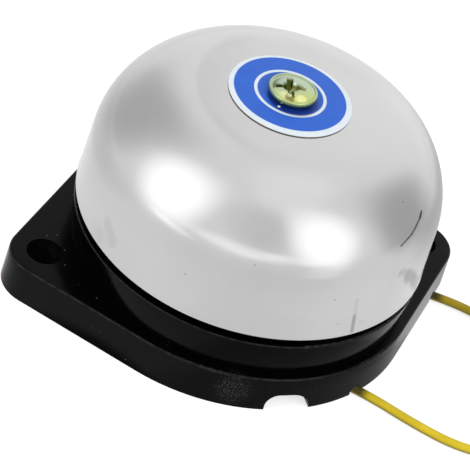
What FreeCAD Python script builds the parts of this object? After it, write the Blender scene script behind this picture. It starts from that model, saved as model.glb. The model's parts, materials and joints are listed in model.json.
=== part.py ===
import FreeCAD
import Part

import math
import os

# A small electric bell: a black moulded base with two ears, a steel gong screwed down on an
# iron frame, and inside the gong a coil whose plunger throws a nylon striker at the gong's wall.
# Millimetres. The origin is the middle of the base's underside, +Z goes up along the gong and
# +X goes to the right ear. The two leads leave at the right and the front.

# Base moulding
flange_radius = 28.9
flange_height = 6.0
flange_draft = 0.3
flange_edge_round = 0.4
ear_reach = 37.1
ear_radius = 6.1
hole_spacing = 63.0
hole_radius = 2.8
drum_radius = 27.4
drum_height = 6.2
drum_edge_round = 0.3
deck_thickness = 2.0
drum_wall = 2.8
flange_wall = 2.2
cover_depth = 2.8
gong_axis_y = -0.6

# Arched notch in the front of the flange
notch_left = -3.8
notch_right = 3.5
notch_height = 2.9
notch_round = 2.1
notch_arc_start = 0.3
notch_arc_middle = (2.45, 2.0)

# Gong
gong_diameter = 55.0
gong_height = 22.8
gong_wall = 1.5
gong_lean_share = 0.05
gong_shoulder_radius = 14.4
gong_crown_radius = 300.0
gong_rim_round = 0.5
rim_gap = 1.5

# Label plate, its screw and the washer under the gong
label_radius = 9.4
label_thickness = 0.2
label_offset_x = -0.3
label_offset_y = 0.3
gong_screw_radius = 2.0
gong_screw_hole_clearance = 0.15
gong_screw_head_radius = 3.6
gong_screw_head_height = 1.8
gong_screw_head_edge = 1.45
gong_washer_radius = 6.0
gong_washer_thickness = 1.2
recess_reach = 2.4
recess_slot = 0.9
recess_depth = 1.4
recess_taper_share = 0.5

# Iron frame round the coil
frame_inside_length = 22.0
frame_width = 13.0
yoke_thickness = 1.5
bridge_thickness = 2.0
bridge_overhang = 0.5
tenon_width = 6.0
frame_screw_spacing = 12.0
frame_screw_radius = 1.5
frame_screw_head_radius = 2.75
frame_screw_head_height = 2.0
frame_washer_thickness = 0.8
frame_washer_overhang = 0.2
frame_screw_clearance = 0.2

# Coil
coil_clearance = 0.25
bobbin_end_clearance = 0.1
bobbin_flange = 1.0
bobbin_wall = 1.1
tape_inset = 0.4
tape_thickness = 0.2

# Guide tube, fixed pole piece and moving striker, all along the coil's axis
plunger_radius = 3.02
plunger_start = -0.5
plunger_length = 16.5
running_clearance = 0.08
fitted_clearance = 0.02
tube_wall = 0.5
tube_overhang = 0.9
tube_lip_width = 0.8
tube_lip_thickness = 0.4
pole_length = 5.5
pole_spigot_radius = 2.2
buffer_washer_radius = 2.9
buffer_washer_thickness = 0.8
buffer_washer_bore_clearance = 0.4
tail_rod_radius = 1.0
tail_rod_grip = 5.0
tail_end = 19.0
strike_gap = 1.15
tip_radius = 1.9
tip_stem_radius = 1.2
tip_stem_length = 4.0
tip_dome_radius = 3.0

# Springs and the clip on the striker's tail
spring_turns = 4
spring_seat_clearance = 0.02
buffer_spring_radius = 2.1
buffer_spring_wire = 0.35
return_spring_radius = 1.9
return_spring_wire = 0.4
return_spring_length = 4.3
tail_washer_radius = 3.0
tail_washer_thickness = 0.5
clip_radius = 2.2
clip_thickness = 0.6
clip_mouth = 1.3
clip_groove_depth = 0.25

# Cover under the base
cover_thickness = 1.0
cover_clearance = 0.2
cover_screw_circle = 18.5
cover_screw_angles = (100.0, 220.0, 340.0)
cover_screw_radius = 1.2
cover_screw_length = 6.0
cover_screw_head_radius = 2.3
cover_screw_head_height = 1.2
cover_screw_clearance = 0.2
boss_wall = 1.4

# Leads: yellow plastic over stranded copper, joined to the coil's own wires inside sleeves
lead_diameter = 1.4
lead_lift = 0.02
lead_slot_clearance = 0.15
cover_slot_length = 6.0
cover_slot_clearance = 0.3
sleeve_radius = 1.2
sleeve_length = 7.0
sleeve_cover_clearance = 0.4
coil_wire_diameter = 0.6
coil_wire_hole_clearance = 0.3
coil_wire_bend = 1.5
coil_wire_tail_1 = 2.0
coil_wire_tail_2 = 4.6
coil_wire_end_clearance = 0.05
bare_end_diameter = 0.9
bare_end_length = 5.0

# Put-away coils of the leads, two layers each, and the ties round them
wound_radius = 8.4
wound_pitch = 1.9
wound_layer_step = 1.86
lead_1_layer_quarters = 6
lead_2_layer_quarters = 4
tie_width = 2.0
tie_thickness = 0.3
tie_clearance = 0.1
tie_at_quarters = 3.5

arc_share = 0.45
overrun = 1.0
gap_samples_per_edge = 6

# Heights and places that follow from these sizes
deck_top = flange_height + drum_height
deck_bottom = deck_top - deck_thickness
rim_z = deck_top + rim_gap
crown_z = rim_z + gong_height
gong_radius = gong_diameter / 2
gong_hole_radius = gong_screw_radius + gong_screw_hole_clearance
ear_x = ear_reach - ear_radius
hole_x = hole_spacing / 2
inner_drum_radius = drum_radius - drum_wall
inner_flange_radius = flange_radius - flange_wall
cover_top = cover_depth + cover_thickness
lead_radius = lead_diameter / 2
lead_z = lead_radius + lead_lift
wound_z = lead_radius + tie_thickness + tie_clearance
wire_level = cover_top + sleeve_radius + sleeve_cover_clearance

# Routes of the two leads, from the joint sleeve under the deck to the put-away coil
lead_1_route = [
    (15.7, 3.1, wire_level),
    (19.4, 0.9, wire_level),
    (23.2, -1.4, lead_z),
    (31.0, -5.9, lead_z),
    (36.9, -9.6, lead_z),
    (40.5, -14.0, wound_z),
    (42.6, -18.0, wound_z),
]
lead_2_route = [
    (0.1, -16.2, wire_level),
    (3.4, -19.0, wire_level),
    (6.8, -22.0, lead_z),
    (13.4, -27.7, lead_z),
    (18.6, -33.6, lead_z),
    (24.2, -39.0, lead_z),
    (30.4, -41.4, lead_z),
    (37.2, -42.5, wound_z),
    (42.0, -42.1, wound_z),
]

Vector = FreeCAD.Vector
UP = Vector(0, 0, 1)
ALONG_X = Vector(1, 0, 0)
ALONG_Y = Vector(0, 1, 0)
parts = {}


# Plain solids


def upright(radius, low, high, x=0, y=0):
    return Part.makeCylinder(radius, high - low, Vector(x, y, low), UP)


def on_gong_axis(radius, low, high):
    return upright(radius, low, high, 0, gong_axis_y)


def block(x_range, y_range, z_range):
    size = [high - low for low, high in (x_range, y_range, z_range)]
    return Part.makeBox(*size, Vector(x_range[0], y_range[0], z_range[0]))


# The gong's outline: a leaning skirt, a shoulder arc and a nearly flat crown

lean = math.atan(gong_lean_share)
crown_centre_z = crown_z - gong_crown_radius


def shoulder_centre():
    """The centre of the arc that is tangent to the skirt and to the crown."""
    foot_out = gong_radius - gong_shoulder_radius * math.cos(lean)
    foot_up = rim_z - gong_shoulder_radius * math.sin(lean) - crown_centre_z
    along = foot_up * math.cos(lean) - foot_out * math.sin(lean)
    rest = foot_out**2 + foot_up**2 - (gong_crown_radius - gong_shoulder_radius) ** 2
    climb = math.sqrt(along**2 - rest) - along
    return foot_out - climb * math.sin(lean), crown_centre_z + foot_up + climb * math.cos(lean)


shoulder_out, shoulder_z = shoulder_centre()
shoulder_turn = math.atan2(shoulder_z - crown_centre_z, shoulder_out)


def crown_at(out, inset):
    return crown_centre_z + math.sqrt((gong_crown_radius - inset) ** 2 - out**2)


def gong_inside_at(z):
    """The radius of the gong's inner wall at a height."""
    radius = gong_shoulder_radius - gong_wall
    rise = z - shoulder_z
    if rise > radius * math.sin(lean):
        return shoulder_out + math.sqrt(radius**2 - rise**2)
    return gong_radius - gong_wall / math.cos(lean) - (z - rim_z) * gong_lean_share


def gong_side(inset):
    """Rim, skirt top, shoulder middle and end, crown middle and the edge of the hole."""
    radius = gong_shoulder_radius - inset
    crown_radius = gong_crown_radius - inset
    hole_turn = math.acos(gong_hole_radius / crown_radius)
    points = [(gong_radius - inset / math.cos(lean), rim_z)]
    for turn in (lean, (lean + shoulder_turn) / 2, shoulder_turn):
        points.append((shoulder_out + radius * math.cos(turn), shoulder_z + radius * math.sin(turn)))
    for turn in ((shoulder_turn + hole_turn) / 2, hole_turn):
        points.append((crown_radius * math.cos(turn), crown_centre_z + crown_radius * math.sin(turn)))
    return [Vector(out, gong_axis_y, up) for out, up in points]


def make_gong():
    edges = []
    for side in (gong_side(0), gong_side(gong_wall)):
        edges.append(Part.LineSegment(side[0], side[1]).toShape())
        edges.append(Part.Arc(side[1], side[2], side[3]).toShape())
        edges.append(Part.Arc(side[3], side[4], side[5]).toShape())
    outer, inner = gong_side(0), gong_side(gong_wall)
    edges.append(Part.LineSegment(outer[0], inner[0]).toShape())
    edges.append(Part.LineSegment(outer[-1], inner[-1]).toShape())
    outline = Part.Wire(Part.__sortEdges__(edges))
    shell = Part.Face(outline).revolve(Vector(0, gong_axis_y, 0), UP, 360)
    rim = [e for e in shell.Edges if e.BoundBox.ZMax < rim_z + gong_wall / 2]
    return shell.makeFillet(gong_rim_round, rim)


# The base


def base_outline(inset, z):
    """Round body and two round ears joined by tangent lines, drawn in by the inset."""
    body = flange_radius - inset
    ear = ear_radius - inset
    turn = math.acos((flange_radius - ear_radius) / ear_x)
    side = Vector(math.cos(turn), math.sin(turn), 0)
    ear_right = Vector(ear_x, 0, z)
    middle = Vector(0, 0, z)

    def mirrored(v, sx, sy):
        return Vector(v.x * sx, v.y * sy, v.z)

    ear_point = ear_right + side * ear
    body_point = middle + side * body
    ear_tip = ear_right + ALONG_X * ear
    body_tip = middle + ALONG_Y * body
    corner = [(1, 1), (-1, 1), (-1, -1), (1, -1)]
    edges = []
    for index, (sx, sy) in enumerate(corner):
        on_ear = mirrored(ear_point, sx, sy)
        on_body = mirrored(body_point, sx, sy)
        next_x, next_y = corner[(index + 1) % len(corner)]
        if sy == next_y:
            over_body = Part.Arc(on_body, mirrored(body_tip, 1, sy), mirrored(body_point, next_x, sy))
            edges += [Part.LineSegment(on_ear, on_body).toShape(), over_body.toShape()]
        else:
            round_ear = Part.Arc(on_ear, mirrored(ear_tip, sx, 1), mirrored(ear_point, sx, next_y))
            edges += [Part.LineSegment(on_body, on_ear).toShape(), round_ear.toShape()]
    return Part.Wire(edges)


def make_notch():
    """The arched notch, cut from outside to the hollow behind the flange's wall."""
    rise = notch_height - notch_round
    bend = notch_round * (1 - math.sqrt(0.5))
    corner = notch_left + notch_round
    y = -flange_radius - overrun
    floor = -overrun

    def at(x, z):
        return Vector(x, y, z)

    left_bend = at(notch_left + bend, notch_height - bend)
    arc_start, arc_end = at(notch_arc_start, notch_height), at(notch_right, 0)
    edges = [
        Part.LineSegment(at(notch_left, floor), at(notch_left, rise)).toShape(),
        Part.Arc(at(notch_left, rise), left_bend, at(corner, notch_height)).toShape(),
        Part.LineSegment(at(corner, notch_height), arc_start).toShape(),
        Part.Arc(arc_start, at(*notch_arc_middle), arc_end).toShape(),
        Part.LineSegment(arc_end, at(notch_right, floor)).toShape(),
        Part.LineSegment(at(notch_right, floor), at(notch_left, floor)).toShape(),
    ]
    reach = flange_radius - inner_flange_radius * math.cos(notch_left / inner_flange_radius)
    return Part.Face(Part.Wire(edges)).extrude(ALONG_Y * (reach + overrun + flange_wall / 2))


def lead_slot(inner, outer):
    """An arched groove for a lead across the flange's bottom edge."""
    start, end = Vector(*inner), Vector(*outer)
    along = (end - start).normalize()
    across = UP.cross(along)
    half = lead_radius + lead_slot_clearance
    length = (end - start).Length + overrun
    round_top = Part.makeCylinder(half, length, start, along)
    low = start - across * half - UP * (lead_z + overrun)
    corners = [low, low + across * (half * 2), start + across * half, start - across * half]
    below = Part.Face(Part.makePolygon(corners + corners[:1])).extrude(along * length)
    return round_top.fuse(below)


def cover_screw_places():
    for angle in cover_screw_angles:
        turn = math.radians(angle)
        yield cover_screw_circle * math.cos(turn), cover_screw_circle * math.sin(turn)


def frame_screw_places():
    for side in (-1, 1):
        yield side * frame_screw_spacing / 2, gong_axis_y


def make_base():
    wires = [base_outline(0, 0), base_outline(flange_draft, flange_height)]
    flange = Part.makeLoft(wires, True, True)
    top = [e for e in flange.Edges if e.BoundBox.ZMin > flange_height / 2]
    flange = flange.makeFillet(flange_edge_round, top)
    drum = on_gong_axis(drum_radius, flange_height / 2, deck_top)
    edge = [e for e in drum.Edges if e.BoundBox.ZMin > deck_bottom]
    body = flange.fuse(drum.makeFillet(drum_edge_round, edge))
    body = body.cut(on_gong_axis(inner_drum_radius, cover_top, deck_bottom))
    body = body.cut(upright(inner_flange_radius, -overrun, cover_top))
    for x, y in cover_screw_places():
        body = body.fuse(upright(cover_screw_radius + boss_wall, cover_top, deck_bottom, x, y))
    cuts = [make_notch()]
    cuts += [lead_slot(lead_1_route[2], lead_1_route[4]), lead_slot(lead_2_route[2], lead_2_route[3])]
    for side in (-1, 1):
        cuts.append(upright(hole_radius, -overrun, flange_height + overrun, side * hole_x))
    for x, y in cover_screw_places():
        cuts.append(upright(cover_screw_radius, cover_depth, cover_depth + cover_screw_length, x, y))
    for x, y in frame_screw_places():
        radius = frame_screw_radius + frame_screw_clearance
        cuts.append(upright(radius, deck_bottom - overrun, deck_top + overrun, x, y))
    for place in (coil_wire_1_foot, coil_wire_2_foot):
        radius = coil_wire_diameter / 2 + coil_wire_hole_clearance
        cuts.append(upright(radius, deck_bottom - overrun, deck_top + overrun, place.x, place.y))
    for cut in cuts:
        body = body.cut(cut)
    return body.removeSplitter()


# Paths of straight runs and tangent arcs, and the round tubes along them


def corner_arc(start, corner, end):
    """The arc tangent to both lines of a corner, for two points equally far from it."""
    middle = (start + end) * 0.5
    half_turn = (corner - start).getAngle(end - corner) / 2
    share = math.cos(half_turn) / (1 + math.cos(half_turn))
    return Part.Arc(start, middle + (corner - middle) * share, end).toShape()


def route_edges(points, largest_radius=None):
    """Straight runs joined by tangent arcs, as large as the runs or the given radius allow."""
    edges = []
    radii = []
    here = points[0]
    for before, corner, after in zip(points, points[1:], points[2:]):
        into, out = corner - before, after - corner
        half_turn = into.getAngle(out) / 2
        reach = arc_share * min(into.Length, out.Length)
        if largest_radius:
            reach = min(reach, largest_radius * math.tan(half_turn))
        radii.append(reach / math.tan(half_turn))
        start = corner - into.normalize() * reach
        end = corner + out.normalize() * reach
        edges += [Part.LineSegment(here, start).toShape(), corner_arc(start, corner, end)]
        here = end
    edges.append(Part.LineSegment(here, points[-1]).toShape())
    return edges, radii


def biarc(start, start_heading, end, end_heading):
    """Two tangent arcs from one point and heading to another."""
    span = end - start
    along = span.dot(start_heading + end_heading)
    bend = 2 * (1 - start_heading.dot(end_heading))
    reach = (math.sqrt(along**2 + bend * span.dot(span)) - along) / bend
    first = start + start_heading * reach
    second = end - end_heading * reach
    middle = (first + second) * 0.5
    return [corner_arc(start, first, middle), corner_arc(middle, second, end)]


def tube(edges, radius):
    path = Part.Wire(edges)
    first = edges[0]
    start = first.valueAt(first.FirstParameter)
    heading = first.tangentAt(first.FirstParameter)
    ring = Part.Wire(Part.makeCircle(radius, start, heading))
    return path.makePipeShell([ring], True, False)


def least_gap(edges, diameter, turn_length):
    """The least gap between stretches of one path that are over half a turn apart."""
    points = []
    for edge in edges:
        points += edge.discretize(gap_samples_per_edge)[:-1]
    travelled = [0.0]
    for here, there in zip(points, points[1:]):
        travelled.append(travelled[-1] + (there - here).Length)
    least = math.inf
    for index, point in enumerate(points):
        for other in range(index + 1, len(points)):
            if travelled[other] - travelled[index] > turn_length / 2:
                least = min(least, (points[other] - point).Length - diameter)
    return least


# The put-away coils


def wound_station(angle, layer_angle):
    """Radius, height and their rates: in along the lower layer, up a layer, and out again."""
    rate = wound_pitch / (2 * math.pi)
    inner = wound_radius - rate * layer_angle
    climb = angle - layer_angle
    if climb <= 0:
        return wound_radius - rate * angle, 0, -rate, 0
    if climb < math.pi:
        share = climb / math.pi
        height = wound_layer_step * share**2 * (3 - 2 * share)
        height_rate = wound_layer_step * 6 * share * (1 - share) / math.pi
        return inner + rate * climb * (share - 1), height, rate * (2 * share - 1), height_rate
    return inner + rate * (climb - math.pi), wound_layer_step, rate, 0


def wound_coil(route, layer_quarters):
    """Edges of the coil that goes on from the end of a lead's route, and facts about it."""
    entry, before = Vector(*route[-1]), Vector(*route[-2])
    heading = Vector(entry.x - before.x, entry.y - before.y, 0).normalize()
    start = entry + heading * lead_diameter
    spiral_lean = math.atan2(wound_pitch / (2 * math.pi), wound_radius)
    first_angle = math.atan2(heading.y, heading.x) - math.pi / 2 - spiral_lean
    centre = start - Vector(math.cos(first_angle), math.sin(first_angle), 0) * wound_radius
    layer_angle = layer_quarters * math.pi / 2
    stations = []
    for quarter in range(2 * layer_quarters + 3):
        angle = quarter * math.pi / 2
        radius, height, radius_rate, height_rate = wound_station(angle, layer_angle)
        out = Vector(math.cos(first_angle + angle), math.sin(first_angle + angle), 0)
        around = UP.cross(out)
        tangent = (out * radius_rate + around * radius + UP * height_rate).normalize()
        stations.append((centre + out * radius + UP * height, tangent))
    edges = [Part.LineSegment(entry, stations[0][0]).toShape()]
    for (here, leaving), (there, arriving) in zip(stations, stations[1:]):
        edges += biarc(here, leaving, there, arriving)
    last, last_heading = stations[-1]
    end = last + last_heading * lead_diameter
    edges.append(Part.LineSegment(last, end).toShape())
    return edges, centre, first_angle, layer_angle, end, last_heading


def make_tie(centre, first_angle, layer_angle):
    """A closed strap round the bundle of turns, three and a half quarters of a turn on."""
    tie_angle = tie_at_quarters * math.pi / 2
    total = 2 * layer_angle + math.pi
    radii = []
    angle = tie_angle
    while angle < total:
        radii.append(wound_station(angle, layer_angle)[0])
        angle += 2 * math.pi
    spread = lead_radius + tie_clearance + tie_width**2 / (8 * min(radii))
    near = min(radii) - spread
    far = max(radii) + spread
    bottom = tie_thickness
    top = wound_z + wound_layer_step + lead_radius + tie_clearance
    half = tie_width / 2
    outside = block((near - tie_thickness, far + tie_thickness), (-half, half), (0, top + tie_thickness))
    lengthwise = [e for e in outside.Edges if e.BoundBox.YLength > half]
    outside = outside.makeFillet(tie_thickness, lengthwise)
    strap = outside.cut(block((near, far), (-tie_width, tie_width), (bottom, top)))
    strap.rotate(Vector(0, 0, 0), UP, math.degrees(first_angle + tie_angle))
    strap.translate(Vector(centre.x, centre.y, 0))
    return strap


# Sleeves, coil wires and leads


def vectors(route):
    return [Vector(*point) for point in route]


def inner_heading(route):
    points = vectors(route)
    return (points[1] - points[0]).normalize()


def wire_foot(route, tail):
    """Where a coil wire turns up to pass through the deck."""
    return Vector(*route[0]) - inner_heading(route) * (sleeve_length + tail)


coil_wire_1_foot = wire_foot(lead_1_route, coil_wire_tail_1)
coil_wire_2_foot = wire_foot(lead_2_route, coil_wire_tail_2)


def make_sleeve(route):
    start = Vector(*route[0])
    return Part.makeCylinder(sleeve_radius, sleeve_length, start, inner_heading(route) * -1)


def make_coil_wire(route, foot):
    """From the sleeve's far end, up through the deck, to the underside of the taped coil."""
    back = Vector(*route[0]) - inner_heading(route) * sleeve_length
    nearest = abs(foot.y - gong_axis_y) - coil_wire_diameter / 2
    height = coil_z - math.sqrt(max(tape_radius**2 - nearest**2, 0)) - coil_wire_end_clearance
    edges = route_edges([back, foot, Vector(foot.x, foot.y, height)], coil_wire_bend)[0]
    return tube(edges, coil_wire_diameter / 2)


def make_lead(number, route, layer_quarters):
    name = f"lead_{number}"
    edges, radii = route_edges(vectors(route))
    run = tube(edges, lead_radius)
    length = sum(edge.Length for edge in edges)
    parts[name] = run
    coil = wound_coil(route, layer_quarters)
    coil_edges, centre, first_angle, layer_angle, end, end_heading = coil
    coil_length = sum(edge.Length for edge in coil_edges)
    gap = least_gap(coil_edges, lead_diameter, 2 * math.pi * wound_radius)
    parts[name + "_coil"] = tube(coil_edges, lead_radius)
    parts[name + "_tie"] = make_tie(centre, first_angle, layer_angle)
    parts[name + "_end"] = Part.makeCylinder(bare_end_diameter / 2, bare_end_length, end, end_heading)
    section = math.pi * lead_radius**2
    print(name, "run", round(length, 1), "volume share", round(run.Volume / section / length, 4))
    print(name, "bend radii", [round(radius, 1) for radius in radii])
    coil_share = parts[name + "_coil"].Volume / section / coil_length
    print(name, "coil", round(coil_length, 1), "volume share", round(coil_share, 4), "least gap", round(gap, 2))


# Iron frame, from the sizes of the gong above it and the deck below it

bridge_top = crown_at(gong_washer_radius, gong_wall) - gong_washer_thickness
bridge_bottom = bridge_top - bridge_thickness
yoke_floor = deck_top + yoke_thickness
coil_z = (yoke_floor + bridge_bottom) / 2
frame_inside = frame_inside_length / 2
frame_outside = frame_inside + yoke_thickness
half_width = frame_width / 2
tube_bore = plunger_radius + running_clearance
tube_radius = tube_bore + tube_wall
bobbin_bore = tube_radius + fitted_clearance
flange_reach = (bridge_bottom - yoke_floor) / 2 - coil_clearance
tape_radius = flange_reach - tape_inset
bobbin_end = frame_inside - bobbin_end_clearance


def along_coil(radius, low, high):
    return Part.makeCylinder(radius, high - low, Vector(low, gong_axis_y, coil_z), ALONG_X)


def frame_block(x_range, half_y, z_range):
    return block(x_range, (gong_axis_y - half_y, gong_axis_y + half_y), z_range)


def tenons():
    pair = []
    for side in (-1, 1):
        x_range = sorted((side * frame_inside, side * frame_outside))
        pair.append(frame_block(x_range, tenon_width / 2, (bridge_bottom, bridge_top)))
    return pair


def make_yoke():
    outer = frame_block((-frame_outside, frame_outside), half_width, (deck_top, bridge_bottom))
    inner = frame_block((-frame_inside, frame_inside), frame_width, (yoke_floor, bridge_bottom + overrun))
    yoke = outer.cut(inner)
    for tenon in tenons():
        yoke = yoke.fuse(tenon)
    yoke = yoke.cut(along_coil(tube_radius + fitted_clearance, 0, frame_outside + overrun))
    yoke = yoke.cut(along_coil(pole_spigot_radius, -frame_outside - overrun, 0))
    for x, y in frame_screw_places():
        yoke = yoke.cut(upright(frame_screw_radius, deck_top - overrun, yoke_floor + overrun, x, y))
    return yoke.removeSplitter()


def make_bridge():
    reach = frame_outside + bridge_overhang
    bridge = frame_block((-reach, reach), half_width, (bridge_bottom, bridge_top))
    for tenon in tenons():
        bridge = bridge.cut(tenon)
    return bridge.cut(on_gong_axis(gong_screw_radius, bridge_bottom - overrun, bridge_top + overrun))


def make_frame_screws():
    screws, washers = [], []
    washer_bottom = deck_bottom - frame_washer_thickness
    for x, y in frame_screw_places():
        shank = upright(frame_screw_radius, washer_bottom, yoke_floor, x, y)
        head = upright(frame_screw_head_radius, washer_bottom - frame_screw_head_height, washer_bottom, x, y)
        screws.append(head.fuse(shank))
        washer_radius = frame_screw_head_radius + frame_washer_overhang
        washer = upright(washer_radius, washer_bottom, deck_bottom, x, y)
        bore = upright(frame_screw_radius + frame_screw_clearance, washer_bottom, deck_bottom, x, y)
        washers.append(washer.cut(bore))
    return Part.makeCompound(screws), Part.makeCompound(washers)


def make_bobbin():
    spool = along_coil(bobbin_bore + bobbin_wall, -bobbin_end, bobbin_end)
    for side in (-1, 1):
        low, high = sorted((side * bobbin_end, side * (bobbin_end - bobbin_flange)))
        spool = spool.fuse(along_coil(flange_reach, low, high))
    return spool.cut(along_coil(bobbin_bore, -frame_inside, frame_inside))


def make_winding():
    reach = bobbin_end - bobbin_flange
    wound = along_coil(tape_radius - tape_thickness, -reach, reach)
    tape = along_coil(tape_radius, -reach, reach).cut(wound)
    return wound.cut(along_coil(bobbin_bore + bobbin_wall, -reach, reach)), tape


# Guide tube, pole piece and striker

pole_face = pole_length - frame_inside
washer_face = pole_face + buffer_washer_thickness
plunger_end = plunger_start + plunger_length
tip_end = gong_inside_at(coil_z) - strike_gap
pole_bore = tail_rod_radius + running_clearance
tail_washer_face = -frame_outside - return_spring_length
clip_face = tail_washer_face - tail_washer_thickness
clip_seat_radius = tail_rod_radius - clip_groove_depth


def make_guide_tube():
    guide = along_coil(tube_radius, -bobbin_end, frame_outside + tube_overhang)
    lip = along_coil(tube_radius + tube_lip_width, frame_outside, frame_outside + tube_lip_thickness)
    return guide.fuse(lip).cut(along_coil(tube_bore, -frame_inside, frame_outside + tube_overhang + overrun))


def make_pole_piece():
    pole = along_coil(tube_bore - fitted_clearance, -frame_inside, pole_face)
    pole = pole.fuse(along_coil(pole_spigot_radius, -frame_outside, -frame_inside))
    return pole.cut(along_coil(pole_bore, -frame_outside - overrun, pole_face + overrun))


def make_buffer_washer():
    washer = along_coil(buffer_washer_radius, pole_face, washer_face)
    return washer.cut(along_coil(pole_bore + buffer_washer_bore_clearance, pole_face, washer_face))


def make_plunger():
    plunger = along_coil(plunger_radius, plunger_start, plunger_end)
    plunger = plunger.cut(along_coil(tail_rod_radius, plunger_start, plunger_start + tail_rod_grip))
    return plunger.cut(along_coil(tip_stem_radius, plunger_end - tip_stem_length, plunger_end))


def make_tip():
    tip = along_coil(tip_radius, plunger_end, tip_end)
    dome_x = tip_end - tip_dome_radius
    dome = Part.makeSphere(tip_dome_radius, Vector(dome_x, gong_axis_y, coil_z))
    shank = along_coil(tip_radius, plunger_end, dome_x)
    tip = tip.common(dome.fuse(shank))
    return tip.fuse(along_coil(tip_stem_radius, plunger_end - tip_stem_length, plunger_end)).removeSplitter()


def make_tail_rod():
    rod = along_coil(tail_rod_radius, -tail_end, plunger_start + tail_rod_grip)
    groove = along_coil(tail_rod_radius, clip_face - clip_thickness, clip_face)
    groove = groove.cut(along_coil(clip_seat_radius, clip_face - clip_thickness, clip_face))
    return rod.cut(groove)


def make_tail_washer():
    washer = along_coil(tail_washer_radius, clip_face, tail_washer_face)
    return washer.cut(along_coil(tail_rod_radius + fitted_clearance, clip_face, tail_washer_face))


def make_clip():
    low = clip_face - clip_thickness
    clip = along_coil(clip_radius, low, clip_face).cut(along_coil(clip_seat_radius, low, clip_face))
    mouth = block(
        (low, clip_face),
        (gong_axis_y - clip_mouth / 2, gong_axis_y + clip_mouth / 2),
        (coil_z, coil_z + clip_radius),
    )
    return clip.cut(mouth)


def make_spring(radius, wire, low, high):
    """A helical spring along the coil's axis between two seats."""
    inset = wire / 2 + spring_seat_clearance
    start, end = low + inset, high - inset
    quarters = 4 * spring_turns
    stations = []
    for quarter in range(quarters + 1):
        angle = quarter * math.pi / 2
        out = Vector(0, math.cos(angle), math.sin(angle))
        around = ALONG_X.cross(out)
        x = start + (end - start) * quarter / quarters
        rise = (end - start) / (2 * math.pi * spring_turns)
        tangent = (around * radius + ALONG_X * rise).normalize()
        stations.append((Vector(x, gong_axis_y, coil_z) + out * radius, tangent))
    edges = []
    for (here, leaving), (there, arriving) in zip(stations, stations[1:]):
        edges += biarc(here, leaving, there, arriving)
    print("spring least gap", round(least_gap(edges, wire, 2 * math.pi * radius), 2))
    return tube(edges, wire / 2)


# What closes the bell: washer, label plate, screw and the cover underneath

label_bottom = crown_at(gong_hole_radius, 0)
label_top = label_bottom + label_thickness


def make_gong_washer():
    washer = on_gong_axis(gong_washer_radius, bridge_top, bridge_top + gong_washer_thickness)
    return washer.cut(on_gong_axis(gong_hole_radius, bridge_top, bridge_top + gong_washer_thickness))


def make_label():
    plate = upright(label_radius, label_bottom, label_top, label_offset_x, gong_axis_y + label_offset_y)
    return plate.cut(on_gong_axis(gong_hole_radius, label_bottom, label_top))


def cross_recess(x, y, top, reach, slot, depth):
    """Two crossing slots that narrow towards the bottom."""
    arms = []
    for length, width in ((reach, slot / 2), (slot / 2, reach)):
        wires = []
        for shrink, z in ((1, top + overrun), (1, top), (recess_taper_share, top - depth)):
            half_x = length * shrink if length > width else length
            half_y = width * shrink if width > length else width
            signs = ((-1, -1), (1, -1), (1, 1), (-1, 1))
            corners = [Vector(x + sx * half_x, y + sy * half_y, z) for sx, sy in signs]
            wires.append(Part.makePolygon(corners + corners[:1]))
        arms.append(Part.makeLoft(wires, True, True))
    return arms[0].fuse(arms[1])


def make_gong_screw():
    edge_top = label_top + gong_screw_head_edge
    head_top = label_top + gong_screw_head_height
    rise = gong_screw_head_height - gong_screw_head_edge
    dome_radius = (gong_screw_head_radius**2 + rise**2) / (2 * rise)
    head = on_gong_axis(gong_screw_head_radius, label_top, head_top)
    dome = Part.makeSphere(dome_radius, Vector(0, gong_axis_y, head_top - dome_radius))
    head = head.common(dome.fuse(on_gong_axis(gong_screw_head_radius, label_top, edge_top)))
    screw = head.fuse(on_gong_axis(gong_screw_radius, bridge_bottom, label_top))
    return screw.cut(cross_recess(0, gong_axis_y, head_top, recess_reach, recess_slot, recess_depth))


def make_cover():
    cover = upright(inner_flange_radius - cover_clearance, cover_depth, cover_top)
    for x, y in cover_screw_places():
        cover = cover.cut(upright(cover_screw_radius + cover_screw_clearance, cover_depth, cover_top, x, y))
    half = lead_radius + cover_slot_clearance
    for route in (lead_1_route, lead_2_route):
        upper, lower = Vector(*route[1]), Vector(*route[2])
        middle_z = (cover_depth + cover_top) / 2
        centre = upper + (lower - upper) * ((upper.z - middle_z) / (upper.z - lower.z))
        slot = block((-cover_slot_length / 2, cover_slot_length / 2), (-half, half), (0, cover_thickness))
        slot.rotate(Vector(0, 0, 0), UP, math.degrees(math.atan2(lower.y - upper.y, lower.x - upper.x)))
        slot.translate(Vector(centre.x, centre.y, cover_depth))
        cover = cover.cut(slot)
    return cover


def make_cover_screws():
    screws = []
    for x, y in cover_screw_places():
        shank = upright(cover_screw_radius, cover_depth, cover_depth + cover_screw_length, x, y)
        head = upright(cover_screw_head_radius, cover_depth - cover_screw_head_height, cover_depth, x, y)
        screws.append(head.fuse(shank))
    return Part.makeCompound(screws)


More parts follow.
